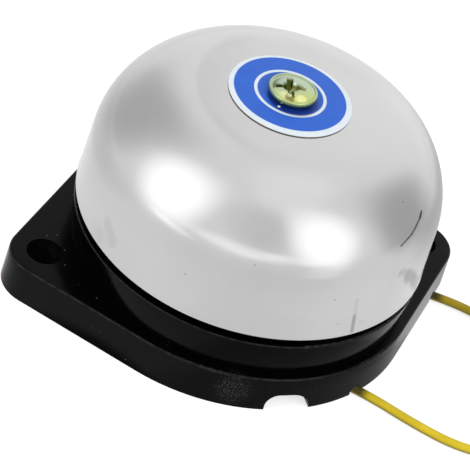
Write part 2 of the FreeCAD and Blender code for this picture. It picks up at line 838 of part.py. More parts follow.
parts["base"] = make_base()
parts["underside_cover"] = make_cover()
parts["cover_screws"] = make_cover_screws()
parts["gong"] = make_gong()
parts["gong_washer"] = make_gong_washer()
parts["label_plate"] = make_label()
parts["gong_screw"] = make_gong_screw()
parts["frame_yoke"] = make_yoke()
parts["frame_bridge"] = make_bridge()
parts["frame_screws"], parts["frame_washers"] = make_frame_screws()
parts["bobbin"] = make_bobbin()
parts["coil_winding"], parts["coil_tape"] = make_winding()
parts["guide_tube"] = make_guide_tube()
parts["pole_piece"] = make_pole_piece()
parts["buffer_washer"] = make_buffer_washer()
parts["buffer_spring"] = make_spring(buffer_spring_radius, buffer_spring_wire, washer_face, plunger_start)
parts["return_spring"] = make_spring(
    return_spring_radius, return_spring_wire, tail_washer_face, -frame_outside
)
parts["plunger"] = make_plunger()
parts["tail_rod"] = make_tail_rod()
parts["tail_washer"] = make_tail_washer()
parts["tail_clip"] = make_clip()
parts["striker_tip"] = make_tip()
parts["joint_sleeve_1"] = make_sleeve(lead_1_route)
parts["joint_sleeve_2"] = make_sleeve(lead_2_route)
parts["coil_wire_1"] = make_coil_wire(lead_1_route, coil_wire_1_foot)
parts["coil_wire_2"] = make_coil_wire(lead_2_route, coil_wire_2_foot)
make_lead(1, lead_1_route, lead_1_layer_quarters)
make_lead(2, lead_2_route, lead_2_layer_quarters)

os.makedirs("parts", exist_ok=True)
for name, shape in parts.items():
    shape.exportStep(f"parts/{name}.step")
    box = shape.BoundBox
    corners = [round(value, 2) for value in (box.XMin, box.XMax, box.YMin, box.YMax, box.ZMin, box.ZMax)]
    print(name, len(shape.Solids), shape.isValid(), round(shape.Volume, 1), corners)
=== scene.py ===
import json
import math

import bmesh
import bpy
from mathutils import Matrix, Vector

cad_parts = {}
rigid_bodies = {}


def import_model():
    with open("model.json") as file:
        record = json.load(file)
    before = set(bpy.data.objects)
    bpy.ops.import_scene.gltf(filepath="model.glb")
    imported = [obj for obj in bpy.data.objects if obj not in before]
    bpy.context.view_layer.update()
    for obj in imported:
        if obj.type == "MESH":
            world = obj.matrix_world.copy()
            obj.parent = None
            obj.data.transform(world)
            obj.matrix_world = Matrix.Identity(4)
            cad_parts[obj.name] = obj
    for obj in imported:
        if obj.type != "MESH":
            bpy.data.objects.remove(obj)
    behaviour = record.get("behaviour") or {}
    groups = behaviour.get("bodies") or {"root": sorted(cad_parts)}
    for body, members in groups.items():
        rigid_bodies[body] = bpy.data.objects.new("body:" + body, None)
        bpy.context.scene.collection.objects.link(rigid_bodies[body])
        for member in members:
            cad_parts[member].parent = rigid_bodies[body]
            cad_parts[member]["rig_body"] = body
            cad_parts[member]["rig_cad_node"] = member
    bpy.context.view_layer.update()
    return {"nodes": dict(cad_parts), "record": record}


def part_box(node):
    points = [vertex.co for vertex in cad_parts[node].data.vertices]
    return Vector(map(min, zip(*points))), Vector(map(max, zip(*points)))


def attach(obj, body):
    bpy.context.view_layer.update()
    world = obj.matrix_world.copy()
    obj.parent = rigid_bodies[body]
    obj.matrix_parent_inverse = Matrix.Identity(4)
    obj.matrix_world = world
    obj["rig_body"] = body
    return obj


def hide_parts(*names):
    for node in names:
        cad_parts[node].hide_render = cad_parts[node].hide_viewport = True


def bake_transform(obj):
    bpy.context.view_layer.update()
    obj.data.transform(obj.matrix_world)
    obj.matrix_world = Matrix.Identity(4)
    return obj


# An electric bell: steel gong with a round label, black two-eared base, two yellow leads, and
# the iron frame, coil and sprung striker inside. Metres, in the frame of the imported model.

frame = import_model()

MM = 0.001
UP = Vector((0, 0, 1))

# Camera at the photograph's view
CAMERA_PLACE = Vector((-0.128679, -0.221486, 0.217565))
CAMERA_AZIMUTH = math.radians(-29.899)
CAMERA_ELEVATION = math.radians(39.299)
CAMERA_ROLL = math.radians(18.642)
CAMERA_LENS = 163.87
CAMERA_SENSOR = 36.0
PHOTO_SIZE = 470

# Leads: diameter, the heights that they lie at, and their routes from the joint sleeves
LEAD_DIAMETER = 0.0014
LEAD_JOINT_Z = 0.0054
LEAD_FLOOR_Z = 0.00072
LEAD_WOUND_Z = 0.0011
LEAD_1_ROUTE = [
    (0.0157, 0.0031, LEAD_JOINT_Z),
    (0.0194, 0.0009, LEAD_JOINT_Z),
    (0.0232, -0.0014, LEAD_FLOOR_Z),
    (0.0310, -0.0059, LEAD_FLOOR_Z),
    (0.0369, -0.0096, LEAD_FLOOR_Z),
    (0.0405, -0.0140, LEAD_WOUND_Z),
    (0.0426, -0.0180, LEAD_WOUND_Z),
]
LEAD_2_ROUTE = [
    (0.0001, -0.0162, LEAD_JOINT_Z),
    (0.0034, -0.0190, LEAD_JOINT_Z),
    (0.0068, -0.0220, LEAD_FLOOR_Z),
    (0.01355, -0.0276, LEAD_FLOOR_Z),
    (0.0186, -0.0336, LEAD_FLOOR_Z),
    (0.0242, -0.0390, LEAD_FLOOR_Z),
    (0.0304, -0.0414, LEAD_FLOOR_Z),
    (0.0372, -0.0425, LEAD_WOUND_Z),
    (0.0420, -0.0421, LEAD_WOUND_Z),
]

# Painted shadow on the leads beside the right ear, and painted shade where they come out of the base
LEAD_SHADOW = (0.0355, -0.0088, 0.0007)
LEAD_SHADOW_RADIUS = 0.014
LEAD_SHADED_EXITS = ((0.0114, -0.0258, 0.0007), (0.0320, -0.0065, 0.0007))
LEAD_EXIT_SHADE_RADIUS = 0.0034

# Put-away coils of the leads
LEAD_1_LAYER_TURNS = 1.5
LEAD_2_LAYER_TURNS = 1.0
WOUND_RADIUS = 0.0084
WOUND_PITCH = 0.0019
WOUND_LAYER_STEP = 0.00186
POINTS_PER_TURN = 16

# Drum of the base, and how far its foot is drawn in
DRUM_RADIUS = 0.0274
DRUM_FOOT_Z = 0.006
DRUM_FOOT_INSET = 0.0007

# Gong: its wall, the lean of its skirt, the radii of shoulder and crown, the round, flare and drop
# of its rim, and the hole for the screw
GONG_WALL = 0.0015
GONG_LEAN = math.atan(0.05)
GONG_SHOULDER_RADIUS = 0.0144
GONG_CROWN_RADIUS = 0.3
GONG_RIM_ROUND = 0.0002
GONG_RIM_FLARE = 0.00006
GONG_RIM_LOWER = 0.00005
GONG_HOLE_RADIUS = 0.00215

# Label: how far the print is off the plate's middle, the blue field's radius, the white ring's
# radii, one bare fleck, and the middle of the shade round the screw, from the screw's own
LABEL_PRINT_SHIFT = Vector((0.00022, 0.00032, 0))
LABEL_FIELD = 0.00854
LABEL_RING = (0.0050, 0.0055)
LABEL_FLECK = (-0.00297, -0.00302, 0.0367)
LABEL_FLECK_RADIUS = 0.00028
LABEL_SHADE_SHIFT = Vector((-0.0002, -0.0008, 0))

# Gong screw: where the edge ring of its head starts, how far it sits off the gong's axis in its
# hole and the recess off its middle, two brown places in its film and two painted highlights
SCREW_RING = 0.00305
SCREW_SHIFT = Vector((-0.00012, 0.00012, 0))
SCREW_RECESS_SHIFT = Vector((-0.0006, 0, 0))
SCREW_BROWN = ((0.0007, -0.0007, 0.0381), (-0.0015, -0.0027, 0.0380))
SCREW_BROWN_RADIUS = 0.0009
SCREW_PAINTED_HIGHLIGHTS = ((-0.0024, -0.0022, 0.0382), (0.0002, -0.0032, 0.0382))
SCREW_HIGHLIGHT_RADIUS = 0.0011

# Studio: what shiny surfaces see, as soft patches of more or less light. Each has its azimuth
# from the front, its elevation, its half width and half height in degrees, and its light.
STUDIO_LEVEL = 1.0
STUDIO_PATCHES = (
    (-85, 25, 30, 50, 0.75),
    (22, 25, 26, 45, 0.75),
    (80, 12, 30, 48, -0.45),
    (-148, 20, 35, 55, -0.40),
    (-22, 33, 25, 38, -0.18),
    (-30, 6, 45, 8, 0.35),
    (140, 15, 40, 40, 0.10),
    (60, 78, 45, 20, 0.12),
    (-140, -30, 50, 20, -0.15),
    (105, -35, 35, 25, -0.35),
    (-20, -28, 60, 25, -0.08),
    (-72, -9, 20, 5, 0.50),
    (-25, 2, 11, 4, 0.12),
    (-6, 8, 12, 4, 0.14),
    (15, -3, 15, 5, -0.20),
    (16, -17, 14, 5, 0.15),
    (158, 36, 5, 27, -0.12),
)

# Soft light all round, and the floor's colour and glow
WORLD_LIGHT = 0.72
FLOOR_COLOUR = (0.52, 0.52, 0.52)
FLOOR_GLOW = 0.70

# What shiny surfaces see of the floor: the same patches as from this height, with a little less light
STUDIO_EYE_Z = 0.045
STUDIO_FLOOR_CHANGE = -0.05

# The bell's shade on the floor, which the base shines back: a dim round in front, that ends
# some way out and beside, and a dark oval under the base with its half sizes. A fade runs from
# where the shade is full to where it ends, for the oval as shares of its size.
SHADE_FRONT = (0.020, -0.022, 0)
SHADE_FRONT_FADE = (0.036, 0.044)
SHADE_FRONT_LIGHT = 0.55
SHADE_END_OUT = (0.040, 0.045)
SHADE_END_BESIDE = (0.020, 0.027)
SHADE_UNDER = (-0.0020, 0, 0)
SHADE_UNDER_SIZE = (0.0350, 0.0280)
SHADE_UNDER_FADE = (0.88, 0.97)
SHADE_UNDER_LIGHT = 0.03

# Lamps: azimuth from the front and elevation of each, their distance, size and power
LAMPS = {"lamp_left": (-84, 40), "lamp_right": (24, 45)}
LAMP_DISTANCE = 0.9
LAMP_SIZE = 0.5
LAMP_POWER = 2.2

# Scuffed patch on the base's front, with its half sizes
SCUFF_PLACE = (-0.0090, -0.0272, 0.0032)
SCUFF_SIZE = (0.0030, 0.0030, 0.0032)

# Light specks of dust on the base, as pixels of the photograph across and down, and their radius
SPECKS = (
    (65, 265),
    (64.5, 250),
    (57, 235),
    (47, 235.5),
    (96.6, 298),
    (125.5, 359.5),
    (208, 362.5),
    (112, 289.7),
    (392.4, 329.8),
)
SPECK_RADIUS = 0.00011

# Marks on the gong: the pixels that each runs from and to, how wide it is and how dark; the widest
# are a smudge and, in the last three, a painted dark reflection. Below them its pits, as pixels too, and the
# pits' radius.
GONG_MARKS_AND_REFLECTION = (
    ((421.5, 212), (420, 218), 0.00040, 0.95),
    ((420, 218), (412, 234), 0.00030, 0.8),
    ((412, 234), (401, 246), 0.00024, 0.8),
    ((357, 300), (354.5, 316), 0.00055, 0.10),
    ((354.5, 316), (352, 331), 0.00050, 0.40),
    ((409, 296), (360, 322), 0.00030, 0.06),
    ((107.5, 224), (112, 240), 0.0016, 0.10),
    # The last three: a painted dark reflection, not a mark on the metal
    ((401, 273), (408, 274), 0.0012, 0.25),
    ((408, 274), (413, 278), 0.0016, 0.45),
    ((413, 278), (416.5, 285), 0.0017, 0.55),
)
GONG_PITS = ((255, 265), (335, 300), (185, 274), (338, 324), (403, 202))
GONG_PIT_RADIUS = 0.00018

# Springs: their turns' radius, wire and number, and where they touch the frame and the striker
SPRINGS = {
    "buffer_spring": {"radius": 0.0021, "wire": 0.00035, "turns": 4, "fixed_x": -0.0047, "moving_x": -0.0005},
    "return_spring": {"radius": 0.0019, "wire": 0.0004, "turns": 4, "fixed_x": -0.0125, "moving_x": -0.0168},
}

# What most of a noise pattern keeps within
NOISE_RANGE = (0.3, 0.7)


# Small steps that every piece uses


def deselect():
    if bpy.context.mode != "OBJECT":
        bpy.ops.object.mode_set(mode="OBJECT")
    bpy.ops.object.select_all(action="DESELECT")


def pick(*objects):
    """Selects these objects alone; the first is the active one."""
    deselect()
    for thing in objects:
        thing.select_set(True)
    bpy.context.view_layer.objects.active = objects[0]
    return objects[0]


def settle(thing, name):
    """Puts the object's place into its mesh and gives it its name."""
    pick(thing)
    bpy.ops.object.transform_apply(location=True, rotation=True, scale=True)
    thing.name = name
    thing.data.name = name
    return thing


def middle(node):
    low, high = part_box(node)
    return (low + high) / 2


def camera_turn():
    turn = Matrix.Rotation(CAMERA_AZIMUTH, 4, "Z")
    tilt = Matrix.Rotation(math.pi / 2 - CAMERA_ELEVATION, 4, "X")
    roll = Matrix.Rotation(CAMERA_ROLL, 4, "Z")
    return turn @ tilt @ roll


def seen_at(across, down):
    """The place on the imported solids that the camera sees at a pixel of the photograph."""
    focal = PHOTO_SIZE * CAMERA_LENS / CAMERA_SENSOR
    ray = camera_turn() @ Vector((across - PHOTO_SIZE / 2, PHOTO_SIZE / 2 - down, -focal))
    graph = bpy.context.evaluated_depsgraph_get()
    hit = bpy.context.scene.ray_cast(graph, CAMERA_PLACE, ray.normalized())
    if not hit[0]:
        raise ValueError("no solid is seen at that pixel")
    return hit[1]


def apply_modifier(thing, kind, **settings):
    pick(thing)
    modifier = thing.modifiers.new(kind.lower(), kind)
    for key, value in settings.items():
        setattr(modifier, key, value)
    bpy.ops.object.modifier_apply(modifier=modifier.name)


def turned(name, rings, segments, axis_x, axis_y, closed=True):
    """A turned piece: rings of (radius, height) pulled one from the other, as on a lathe."""
    deselect()
    start_radius, start_z = rings[0]
    bpy.ops.mesh.primitive_circle_add(
        vertices=segments, radius=start_radius, location=(axis_x, axis_y, start_z)
    )
    thing = bpy.context.object
    bpy.ops.object.mode_set(mode="EDIT")
    bpy.ops.mesh.select_all(action="SELECT")
    here_radius, here_z = rings[0]
    for radius, z in rings[1:]:
        bpy.ops.mesh.extrude_region_move(TRANSFORM_OT_translate={"value": (0, 0, z - here_z)})
        share = radius / here_radius
        centre = (axis_x, axis_y, z)
        bpy.ops.transform.resize(value=(share, share, 1), center_override=centre)
        here_radius, here_z = radius, z
    bpy.ops.mesh.select_all(action="SELECT")
    bpy.ops.mesh.remove_doubles(threshold=MM / 1000)
    if not closed:
        bpy.ops.mesh.select_all(action="DESELECT")
        bpy.ops.mesh.select_non_manifold(extend=False)
        bpy.ops.mesh.fill_holes(sides=0)
    bpy.ops.mesh.select_all(action="SELECT")
    bpy.ops.mesh.normals_make_consistent(inside=False)
    bpy.ops.object.mode_set(mode="OBJECT")
    return settle(thing, name)


def smooth(thing, degrees=35):
    pick(thing)
    bpy.ops.object.shade_smooth_by_angle(angle=math.radians(degrees))


def merge_close(thing, gap):
    """Merges points that are closer than the gap, and drops what has no area left."""
    pick(thing)
    bpy.ops.object.mode_set(mode="EDIT")
    bpy.ops.mesh.select_all(action="SELECT")
    bpy.ops.mesh.remove_doubles(threshold=gap)
    bpy.ops.mesh.dissolve_degenerate(threshold=gap)
    bpy.ops.mesh.select_all(action="SELECT")
    bpy.ops.mesh.normals_make_consistent(inside=False)
    bpy.ops.object.mode_set(mode="OBJECT")


def ring_arc(centre_radius, centre_z, radius, first, last, steps):
    """Rings along an arc, from one angle to another, in degrees."""
    rings = []
    for step in range(steps + 1):
        angle = math.radians(first + (last - first) * step / steps)
        rings.append((centre_radius + radius * math.cos(angle), centre_z + radius * math.sin(angle)))
    return rings


# Finishes


def add(tree, kind, inputs=None, **settings):
    """A node with its settings, and its inputs set to values or linked to other nodes' outputs."""
    made = tree.nodes.new(kind)
    for key, value in settings.items():
        setattr(made, key, value)
    for key, value in (inputs or {}).items():
        if isinstance(value, bpy.types.NodeSocket):
            tree.links.new(value, made.inputs[key])
        else:
            made.inputs[key].default_value = value
    return made


def new_finish(name):
    """A material with its Principled shader, and the object coordinates that its patterns use."""
    packed = bpy.data.materials.get(name)
    if packed:
        packed.name = name + "_packed"
    material = bpy.data.materials.new(name)
    material.use_nodes = True
    tree = material.node_tree
    shader = tree.nodes["Principled BSDF"]
    place = add(tree, "ShaderNodeTexCoord").outputs["Object"]
    return material, tree, shader, place


def moved(tree, place, centre=(0, 0, 0), scale=(1, 1, 1)):
    """Coordinates measured from a centre, then scaled."""
    shift = [-c * s for c, s in zip(centre, scale)]
    return add(tree, "ShaderNodeMapping", {"Vector": place, "Location": shift, "Scale": scale}).outputs[0]


def grain(tree, place, size, detail=2.0, roughness=0.5, distortion=0.0):
    """Soft random light and dark, about as large as the size."""
    inputs = {
        "Vector": place,
        "Scale": 1 / size,
        "Detail": detail,
        "Roughness": roughness,
        "Distortion": distortion,
    }
    return add(tree, "ShaderNodeTexNoise", inputs).outputs["Fac"]


def remap(tree, value, from_low, from_high, low=0.0, high=1.0, soft=False):
    inputs = {"Value": value, "From Min": from_low, "From Max": from_high, "To Min": low, "To Max": high}
    kind = "SMOOTHSTEP" if soft else "LINEAR"
    return add(tree, "ShaderNodeMapRange", inputs, interpolation_type=kind).outputs[0]


def spread(tree, pattern, low=0.0, high=1.0):
    """The usual range of a noise, drawn out to run from low to high."""
    return remap(tree, pattern, *NOISE_RANGE, low, high)


def combined(tree, first, second, operation):
    return add(tree, "ShaderNodeMath", {0: first, 1: second}, operation=operation).outputs[0]


def sum_of(tree, first, second):
    return combined(tree, first, second, "ADD")


def times(tree, first, second):
    return combined(tree, first, second, "MULTIPLY")


def vector_math(tree, operation, *inputs):
    """The outputs of one step on vectors."""
    return add(tree, "ShaderNodeVectorMath", dict(enumerate(inputs)), operation=operation).outputs


def scaled(tree, vector, amount):
    return add(tree, "ShaderNodeVectorMath", {0: vector, "Scale": amount}, operation="SCALE").outputs[0]


def colour_mix(tree, factor, first, second):
    mix = add(tree, "ShaderNodeMix", data_type="RGBA")
    for socket, value in ((mix.inputs[0], factor), (mix.inputs[6], first), (mix.inputs[7], second)):
        if isinstance(value, bpy.types.NodeSocket):
            tree.links.new(value, socket)
        elif isinstance(value, (tuple, list)):
            socket.default_value = (*value, 1)
        else:
            socket.default_value = value
    return mix.outputs[2]


def specks(tree, place, size, share, radius=0.15):
    """Small round spots in some cells of the given size, their radius a share of it: 1 on a spot."""
    cells = add(tree, "ShaderNodeTexVoronoi", {"Vector": place, "Scale": 1 / size})
    dot = remap(tree, cells.outputs["Distance"], radius, radius / 2, soft=True)
    chosen = add(tree, "ShaderNodeSeparateColor", {"Color": cells.outputs["Color"]}).outputs[0]
    kept = combined(tree, chosen, share, "LESS_THAN")
    return times(tree, dot, kept)


def ruffled(tree, place, size, amount):
    """Coordinates shaken a little, for ragged outlines."""
    noise = add(tree, "ShaderNodeTexNoise", {"Vector": place, "Scale": 1 / size, "Detail": 3.0})
    centred = vector_math(tree, "SUBTRACT", noise.outputs["Color"], (0.5, 0.5, 0.5))[0]
    return vector_math(tree, "ADD", place, scaled(tree, centred, amount))[0]


def spot(tree, place, centre, radius):
    """1 on a small round spot, 0 past its soft edge."""
    gap = vector_math(tree, "DISTANCE", place, centre)["Value"]
    return remap(tree, gap, radius, radius / 2, soft=True)


def stroke(tree, place, start, end, width):
    """1 along a fine straight mark from start to end, 0 past its soft sides."""
    run = end - start
    along = run.normalized()
    offset = vector_math(tree, "SUBTRACT", place, start)[0]
    reach = vector_math(tree, "DOT_PRODUCT", offset, along)["Value"]
    kept = add(tree, "ShaderNodeClamp", {"Value": reach, "Min": 0.0, "Max": run.length}).outputs[0]
    gap = vector_math(tree, "DISTANCE", offset, scaled(tree, along, kept))["Value"]
    return remap(tree, gap, width, width / 4, soft=True)


def most_of(tree, values):
    most = values[0]
    for value in values[1:]:
        most = combined(tree, most, value, "MAXIMUM")
    return most


def flat_distance(tree, place, centre):
    """How far a point is from an upright axis."""
    flat = moved(tree, place, centre, (1, 1, 0))
    return vector_math(tree, "LENGTH", flat)["Value"]


def tilt_up(tree):
    """How far a surface faces up: 1 on a level top, 0 on an upright side."""
    normal = add(tree, "ShaderNodeNewGeometry").outputs["Normal"]
    return add(tree, "ShaderNodeSeparateXYZ", {0: normal}).outputs["Z"]


def bump(tree, shader, height, distance, strength=1.0):
    inputs = {"Height": height, "Distance": distance, "Strength": strength}
    tree.links.new(add(tree, "ShaderNodeBump", inputs).outputs[0], shader.inputs["Normal"])


def link(tree, output, shader, name):
    tree.links.new(output, shader.inputs[name])


def plain_finish(name, dark, light, size, rough, metal=0.0, relief=2e-6, stretch=(1, 1, 1)):
    """A finish of two near colours and roughnesses in a grain, drawn out along the stretch."""
    material, tree, shader, place = new_finish(name)
    drawn = moved(tree, place, scale=stretch)
    pattern = grain(tree, drawn, size, detail=4.0)
    link(tree, colour_mix(tree, spread(tree, pattern), dark, light), shader, "Base Color")
    link(tree, spread(tree, pattern, *rough), shader, "Roughness")
    shader.inputs["Metallic"].default_value = metal
    bump(tree, shader, pattern, relief)
    return material


def moulding_finish():
    """Black moulded resin: fine mottle, rubbed edges with a painted highlight, painted light on the upright
    walls, dust specks and one scuffed patch in front.
    """
    material, tree, shader, place = new_finish("black_moulding")
    cloud = grain(tree, place, 0.004, detail=3.0)
    mottle = grain(tree, place, 0.0006, detail=4.0, roughness=0.65)
    fine = grain(tree, place, 0.00016, detail=2.0)
    darkest, lighter = (0.0004, 0.0004, 0.0005), (0.0018, 0.0018, 0.0020)
    body = colour_mix(tree, remap(tree, mottle, 0.35, 0.7), darkest, lighter)
    height = add(tree, "ShaderNodeSeparateXYZ", {0: place}).outputs["Z"]
    tilt = tilt_up(tree)
    below_deck = remap(tree, height, DRUM_FOOT_Z, DRUM_FOOT_Z - 0.0004)
    # Upright walls below the deck get a lighter colour in a fine grain: painted light on the walls
    upright = times(tree, remap(tree, tilt, 0.3, 0.1), below_deck)
    painted_wall_light = times(tree, upright, spread(tree, fine, 0.3, 1.0))
    body = colour_mix(tree, painted_wall_light, body, (0.0060, 0.0060, 0.0064))
    # Rounded edges lighter: partly rubbed wear, partly a painted highlight
    leaning = remap(tree, tilt, 0.12, 0.4, soft=True)
    edge = times(tree, leaning, remap(tree, tilt, 0.95, 0.75, soft=True))
    rubbed_and_highlit = remap(tree, grain(tree, place, 0.0011, detail=4.0), 0.36, 0.62, 0.2, 1.0)
    worn = colour_mix(tree, times(tree, edge, rubbed_and_highlit), body, (0.021, 0.021, 0.021))
    ragged = ruffled(tree, place, 0.0002, 0.00012)
    dust = times(tree, specks(tree, ragged, 0.0010, 0.10, 0.10), 0.35)
    picked = [spot(tree, ragged, seen_at(*pixel), SPECK_RADIUS) for pixel in SPECKS]
    marked = most_of(tree, [dust] + picked)
    dusty = colour_mix(tree, marked, worn, (0.16, 0.16, 0.155))
    scuff_place = moved(tree, place, SCUFF_PLACE, [1 / half for half in SCUFF_SIZE])
    distance = vector_math(tree, "LENGTH", scuff_place)["Value"]
    scuff_grains = remap(tree, grain(tree, place, 0.00020, detail=3.0, roughness=0.7), 0.52, 0.72)
    scuff = times(tree, remap(tree, distance, 1.15, 0.45, soft=True), scuff_grains)
    scuffed = colour_mix(tree, scuff, dusty, (0.12, 0.12, 0.12))
    link(tree, scuffed, shader, "Base Color")
    link(tree, spread(tree, cloud, 0.14, 0.20), shader, "Roughness")
    shader.inputs["Specular IOR Level"].default_value = 0.08
    bump(tree, shader, fine, 5e-6, 0.6)
    return material


def gong_finish():
    """Bright plated steel: soft mirror with cloudy polish, hairlines, tiny pits, a few marks and a painted
    dark reflection.
    """
    material, tree, shader, place = new_finish("polished_gong")
    cloud = grain(tree, place, 0.014, detail=3.0, distortion=0.6)
    haze = grain(tree, place, 0.0016, detail=4.0)
    hairs = grain(tree, moved(tree, place, scale=(1, 1, 14)), 0.002, detail=5.0, roughness=0.7)
    tone = colour_mix(tree, spread(tree, cloud), (0.60, 0.60, 0.604), (0.635, 0.635, 0.636))
    ragged = ruffled(tree, place, 0.0004, 0.00025)
    pits = times(tree, specks(tree, ragged, 0.0042, 0.22, 0.032), 0.28)
    picked = [spot(tree, ragged, seen_at(*pixel), GONG_PIT_RADIUS) for pixel in GONG_PITS]
    pits = most_of(tree, [pits] + [times(tree, pit, 0.4) for pit in picked])
    smudge_and_reflection_place = ruffled(tree, place, 0.0022, 0.0016)
    # Strokes: real marks, a smudge, and one painted dark reflection
    marks_and_reflection = []
    for start, end, width, dark in GONG_MARKS_AND_REFLECTION:
        drawn = smudge_and_reflection_place if width > MM else ragged
        mark = stroke(tree, drawn, seen_at(*start), seen_at(*end), width)
        marks_and_reflection.append(times(tree, mark, dark))
    marked = colour_mix(tree, most_of(tree, [pits] + marks_and_reflection), tone, (0.02, 0.02, 0.02))
    link(tree, marked, shader, "Base Color")
    shader.inputs["Metallic"].default_value = 1.0
    worn = sum_of(tree, spread(tree, cloud, 0.11, 0.17), spread(tree, haze, 0.0, 0.03))
    link(tree, worn, shader, "Roughness")
    waves = times(tree, grain(tree, place, 0.008, detail=1.0), 18.0)
    fine = sum_of(tree, haze, spread(tree, hairs, 0.0, 0.3))
    bump(tree, shader, sum_of(tree, waves, fine), 1.2e-6)
    return material


def label_finish():
    """Printed plate: dark cut edge, white border, blue field, a thin white ring and a fleck."""
    material, tree, shader, place = new_finish("label")
    out = flat_distance(tree, place, middle("label_plate") + LABEL_PRINT_SHIFT)
    edge = MM / 20
    in_field = remap(tree, out, LABEL_FIELD + edge, LABEL_FIELD - edge)
    ring_inner, ring_outer = LABEL_RING
    ring = times(
        tree,
        remap(tree, out, ring_inner - edge, ring_inner + edge),
        remap(tree, out, ring_outer + edge, ring_outer - edge),
    )
    fleck = spot(tree, place, LABEL_FLECK, LABEL_FLECK_RADIUS)
    mottle = grain(tree, place, 0.0025, detail=3.0)
    blue = colour_mix(tree, spread(tree, mottle), (0.018, 0.112, 0.57), (0.024, 0.128, 0.62))
    white = colour_mix(tree, spread(tree, mottle), (0.68, 0.76, 0.82), (0.76, 0.83, 0.88))
    printed = colour_mix(tree, ring, blue, white)
    face = colour_mix(tree, in_field, white, printed)
    screw = middle("gong_screw") + LABEL_SHADE_SHIFT
    shade = remap(tree, flat_distance(tree, place, screw), 0.0042, 0.0034, 0.0, 0.85, soft=True)
    face = colour_mix(tree, shade, face, (0.002, 0.012, 0.16))
    face = colour_mix(tree, fleck, face, (0.9, 0.9, 0.88))
    side = remap(tree, tilt_up(tree), 0.7, 0.3)
    link(tree, colour_mix(tree, side, face, (0.20, 0.17, 0.15)), shader, "Base Color")
    link(tree, spread(tree, mottle, 0.32, 0.42), shader, "Roughness")
    shader.inputs["Specular IOR Level"].default_value = 0.25
    print_height = combined(tree, in_field, times(tree, ring, 0.5), "SUBTRACT")
    bump(tree, shader, print_height, 1e-5, 0.5)
    return material


def yellow_zinc_finish():
    """Zinc plate with a thin film that turns from pale green to gold, two painted highlights, and painted
    light and shade in the recess.
    """
    material, tree, shader, place = new_finish("yellow_zinc")
    drift = grain(tree, place, 0.0022, detail=2.0, distortion=0.8)
    fine = grain(tree, place, 0.0006, detail=3.0)
    screw = middle("gong_screw") + SCREW_SHIFT
    axes = add(tree, "ShaderNodeSeparateXYZ", {0: place}).outputs
    head_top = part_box("gong_screw")[1].z
    forward = remap(tree, axes["Y"], screw.y - 0.0002, screw.y - 0.0030, 0.0, 0.85, soft=True)
    gold = sum_of(tree, forward, remap(tree, drift, 0.5, 0.72, 0.0, 0.35))
    tone = colour_mix(tree, gold, (0.44, 0.54, 0.42), (0.60, 0.66, 0.15))
    # Two painted highlights on the head
    painted_highlight = most_of(tree, [spot(tree, place, at, SCREW_HIGHLIGHT_RADIUS) for at in SCREW_PAINTED_HIGHLIGHTS])
    tone = colour_mix(tree, times(tree, painted_highlight, 0.8), tone, (0.90, 0.92, 0.42))
    ring = remap(tree, flat_distance(tree, place, screw), SCREW_RING - 0.00004, SCREW_RING + 0.00004)
    ringed = colour_mix(tree, times(tree, ring, 0.6), tone, (0.40, 0.50, 0.24))
    # Painted light and shade in the recess: pale near the front, dark behind
    deep = remap(tree, axes["Z"], head_top - 0.0002, head_top - 0.0006, soft=True)
    inside = remap(tree, flat_distance(tree, place, screw + SCREW_RECESS_SHIFT), 0.0027, 0.0024)
    far = remap(tree, axes["Y"], screw.y - 0.0003, screw.y + 0.0005, soft=True)
    recess = colour_mix(tree, far, (0.66, 0.74, 0.40), (0.06, 0.07, 0.010))
    recess_painted_shade = colour_mix(tree, times(tree, deep, inside), ringed, recess)
    patchy = ruffled(tree, place, 0.0008, 0.0011)
    brown = most_of(tree, [spot(tree, patchy, at, SCREW_BROWN_RADIUS) for at in SCREW_BROWN])
    browned = colour_mix(tree, times(tree, brown, 0.75), recess_painted_shade, (0.17, 0.10, 0.015))
    link(tree, browned, shader, "Base Color")
    shader.inputs["Metallic"].default_value = 1.0
    link(tree, spread(tree, fine, 0.18, 0.26), shader, "Roughness")
    bump(tree, shader, fine, 6e-7)
    return material


def lead_finish():
    """Soft yellow plastic, a little uneven, with painted shadow by the right ear and at the exits, and
    painted shade on its lower side.
    """
    material, tree, shader, place = new_finish("lead_plastic")
    drift = grain(tree, place, 0.0035, detail=3.0)
    skin = grain(tree, place, 0.00025, detail=2.0)
    face = colour_mix(tree, spread(tree, drift), (0.62, 0.47, 0.012), (0.73, 0.55, 0.022))
    # Painted shadow on the leads beside the right ear
    shadow = spot(tree, place, LEAD_SHADOW, LEAD_SHADOW_RADIUS)
    face = colour_mix(tree, times(tree, shadow, 0.55), face, (0.26, 0.18, 0.006))
    # Painted shade where the leads come out from under the base
    shaded_exits = most_of(tree, [spot(tree, place, at, LEAD_EXIT_SHADE_RADIUS) for at in LEAD_SHADED_EXITS])
    face = colour_mix(tree, times(tree, shaded_exits, 0.95), face, (0.035, 0.028, 0.003))
    # Painted shade on the lead's lower side
    lower = remap(tree, tilt_up(tree), 0.30, -0.35, soft=True)
    shaded = colour_mix(tree, lower, face, (0.36, 0.27, 0.018))
    link(tree, shaded, shader, "Base Color")
    link(tree, spread(tree, drift, 0.34, 0.44), shader, "Roughness")
    shader.inputs["Specular IOR Level"].default_value = 0.25
    bump(tree, shader, skin, 4e-6)
    return material


def winding_finish():
    """Fine enamelled wire laid turn beside turn along the coil."""
    material, tree, shader, place = new_finish("enamelled_copper")
    wire = 0.00012
    inputs = {"Vector": place, "Scale": 0.05 / wire}
    turns = add(tree, "ShaderNodeTexWave", inputs, bands_direction="X").outputs["Fac"]
    drift = grain(tree, place, 0.002)
    copper = colour_mix(tree, drift, (0.42, 0.12, 0.04), (0.62, 0.24, 0.09))
    link(tree, copper, shader, "Base Color")
    shader.inputs["Metallic"].default_value = 0.9
    shader.inputs["Roughness"].default_value = 0.3
    bump(tree, shader, turns, 3e-5)
    return material


